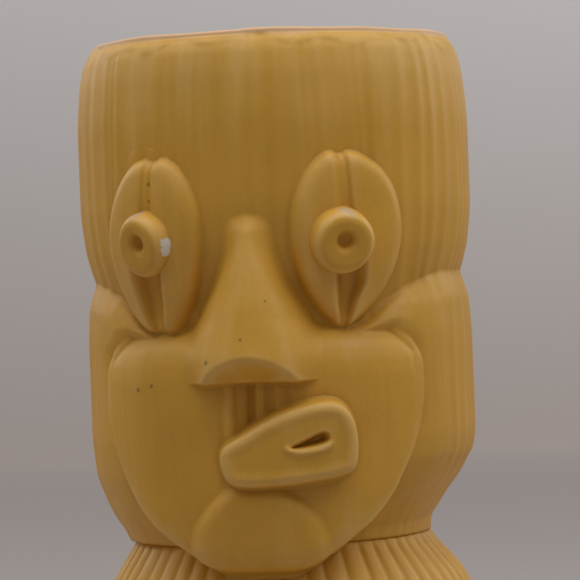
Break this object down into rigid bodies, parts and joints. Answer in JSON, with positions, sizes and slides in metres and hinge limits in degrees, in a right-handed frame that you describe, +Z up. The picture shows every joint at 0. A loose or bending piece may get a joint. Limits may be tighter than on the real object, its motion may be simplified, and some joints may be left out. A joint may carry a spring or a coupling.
{
  "type": "tiki mug",
  "caption": "Tall glazed ceramic tiki mug: an open cup shaped as a fluted head with leaf eyes, a long nose and a crooked mouth.",
  "frame": {"origin": "on the table, under the middle of the bounding box; the cup's axis stands 4.2 mm behind it, at y = +0.0042", "axes": "+Z up out of the cup's mouth, -Y the way the face looks, +X to the viewer's right"},
  "size_m": [0.083, 0.0914, 0.16],
  "materials": {
    "glaze": "satin mustard-yellow glaze, thin and paler on edges and ridges, thicker and browner in grooves",
    "bare_clay": "bare fired clay, matt"
  },
  "bodies": {
    "root": {"foot_ring": "bare_clay", "torso_vessel": "glaze", "head_vessel": "glaze", "back_hair": "glaze", "side_lock_left": "glaze", "side_lock_right": "glaze", "cheek_left": "glaze", "cheek_right": "glaze", "chin": "glaze", "upper_lip": "glaze", "nose": "glaze", "mouth": "glaze", "eye_left_inner_lid": "glaze", "eye_left_outer_lid": "glaze", "eye_right_inner_lid": "glaze", "eye_right_outer_lid": "glaze", "pupil_left": "glaze", "pupil_right": "glaze"}
  },
  "joints": []
}
